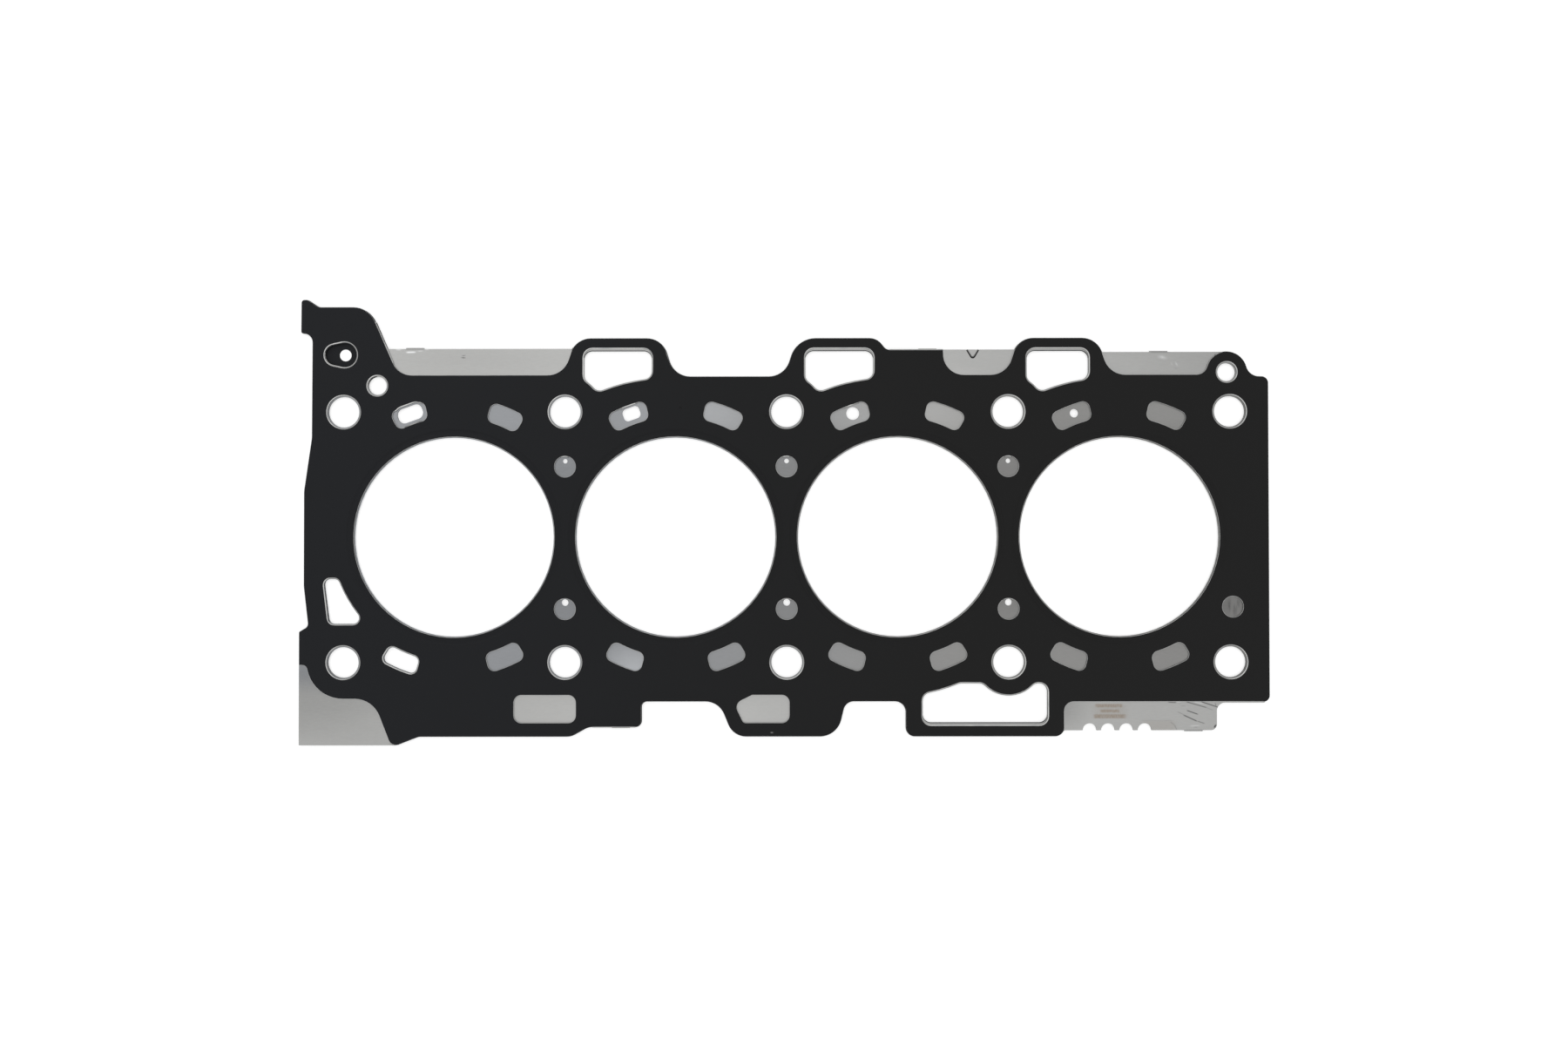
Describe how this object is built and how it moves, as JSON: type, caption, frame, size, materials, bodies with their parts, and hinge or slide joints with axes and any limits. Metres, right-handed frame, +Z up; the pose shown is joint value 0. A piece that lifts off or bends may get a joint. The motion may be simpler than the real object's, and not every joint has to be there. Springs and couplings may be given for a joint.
{
  "type": "cylinder head gasket",
  "caption": "Flat multi-layer steel head gasket of an in-line four: black coated sheets over a bare steel spacer, with bores, bolt holes, coolant windows, ports and thickness notches.",
  "frame": {"origin": "middle of the head-bolt pattern, on the face that lies on the block", "axes": "+X along the row of cylinders, away from the end with the horn; +Y towards the tabs of the gallery side; +Z up, through the gasket, to the cylinder head"},
  "size_m": [0.4201, 0.1931, 0.0018],
  "materials": {
    "coated_steel": "matte",
    "bare_steel": "satin"
  },
  "bodies": {
    "root": {"upper_bead_layer": "coated_steel", "lower_bead_layer": "coated_steel", "spacer_plate": "bare_steel", "stopper_rings": "bare_steel"}
  },
  "joints": []
}
